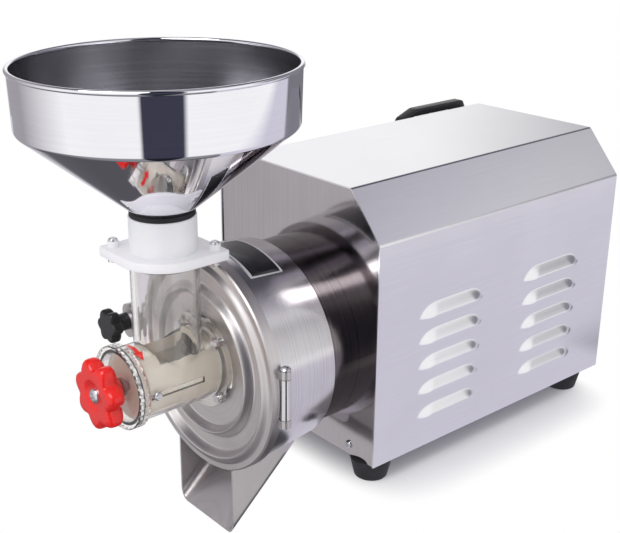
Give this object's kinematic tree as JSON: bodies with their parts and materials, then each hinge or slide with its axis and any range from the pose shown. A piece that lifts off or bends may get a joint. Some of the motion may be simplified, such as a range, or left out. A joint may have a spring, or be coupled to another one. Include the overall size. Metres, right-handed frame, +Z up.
{
  "type": "nut butter grinding machine",
  "caption": "Electric table-top mill that grinds nuts and grain to butter: motor box, hinged grinding drum, clear feed body, steel hopper, fineness handwheel and outlet chute.",
  "frame": {"origin": "bottom centre of the bounding box, level with the lip of the outlet chute; the feet's plane lies 46 mm above it", "axes": "+Z up, -Y toward the handwheel, +Y along the shaft toward the rear panel, +X to the hinge side"},
  "size_m": [0.26, 0.6613, 0.4691],
  "materials": {
    "hood_steel": "satin rolled stainless sheet",
    "panel_steel": "mirror-polished stainless sheet",
    "tray_steel": "mill-finish sheet",
    "drum_steel": "turned and polished",
    "cover_steel": "satin spun",
    "neck_metal": "dark polished",
    "hopper_steel": "mirror-polished, spun",
    "motor_paint": "satin enamel",
    "shaft_steel": "ground",
    "lamination": "stacked sheets, varnished",
    "disc_iron": "ground faces",
    "fastener_steel": "plated",
    "black_rubber": "moulded",
    "black_plastic": "moulded",
    "red_plastic": "moulded",
    "white_plastic": "moulded",
    "cream_plastic": "turned",
    "clear_plastic": "smoky clear moulding",
    "plate_black": "bare lacquered plate",
    "grey_plastic": "moulded"
  },
  "bodies": {
    "machine": {"base_plate": "tray_steel", "housing_cover": "hood_steel", "side_panels": "hood_steel", "front_panel": "panel_steel", "rear_panel": "hood_steel", "rubber_feet": "black_rubber", "foot_bolts": "fastener_steel", "carry_handle": "black_plastic", "handle_screws": "fastener_steel", "panel_screws": "fastener_steel", "motor_casing": "motor_paint", "motor_cradle": "motor_paint", "drum_neck": "neck_metal", "rear_bell": "motor_paint", "stator": "lamination", "bearings": "shaft_steel", "run_capacitor": "grey_plastic", "grinding_drum": "drum_steel", "outlet_chute": "cover_steel", "drum_screws": "fastener_steel", "hinge_pin": "fastener_steel", "shaft_seal": "black_rubber", "blank_plate": "plate_black", "switch_body": "black_plastic", "cable_gland": "black_plastic"},
    "rotor": {"motor_shaft": "shaft_steel", "rotor_core": "lamination", "cooling_fan": "black_plastic", "moving_disc": "disc_iron", "feed_screw": "shaft_steel"},
    "door": {"front_cover": "cover_steel", "cover_gasket": "white_plastic", "feed_body": "clear_plastic", "feed_screws": "fastener_steel", "hopper_seat": "white_plastic", "seat_screws": "fastener_steel", "end_cap": "clear_plastic"},
    "sleeve": {"adjusting_sleeve": "cream_plastic", "static_disc": "disc_iron", "disc_screws": "fastener_steel", "guide_screw": "fastener_steel"},
    "knob": {"fineness_knob": "red_plastic", "adjusting_spindle": "shaft_steel", "knob_screw": "fastener_steel"},
    "latch_carriage": {"latch_washer": "fastener_steel"},
    "latch": {"latch_knob": "black_plastic", "latch_stud": "shaft_steel"},
    "bowl": {"hopper": "hopper_steel", "hopper_ring": "black_rubber"},
    "switch": {"switch_rocker": "red_plastic"}
  },
  "joints": [
    {"name": "rotor_spin", "type": "hinge", "parent": "machine", "child": "rotor", "pos_m": [0.003, -0.05015, 0.177], "axis": [0, 1, 0], "continuous": true},
    {"name": "door_swing", "type": "hinge", "parent": "machine", "child": "door", "pos_m": [0.1165, -0.15515, 0.177], "axis": [0, 0, 1], "range_deg": [0, 110]},
    {"name": "knob_turn", "type": "hinge", "parent": "door", "child": "knob", "pos_m": [0.003, -0.27015, 0.177], "axis": [0, -1, 0], "range_deg": [-90.5, 540.5]},
    {"name": "sleeve_travel", "type": "slide", "parent": "door", "child": "sleeve", "axis": [0, -1, 0], "range_m": [-0.0005, 0.003]},
    {"name": "latch_retreat", "type": "slide", "parent": "door", "child": "latch_carriage", "axis": [0, -1, 0], "range_m": [0, 0.0125]},
    {"name": "latch_turn", "type": "hinge", "parent": "latch_carriage", "child": "latch", "pos_m": [-0.112, -0.19015, 0.182], "axis": [0, -1, 0], "range_deg": [-0.5, 3600.5]},
    {"name": "hopper_lift", "type": "slide", "parent": "door", "child": "bowl", "axis": [0, 0, 1], "range_m": [0, 0.06]},
    {"name": "switch_rock", "type": "hinge", "parent": "machine", "child": "switch", "pos_m": [0.061, 0.30665, 0.16], "axis": [-1, 0, 0], "range_deg": [0, 16]}
  ],
  "couplings": [
    {"joint": "knob_turn", "follows": "sleeve_travel", "rad_per_m": 3141.6},
    {"joint": "latch_turn", "follows": "latch_retreat", "rad_per_m": 5026.5}
  ]
}
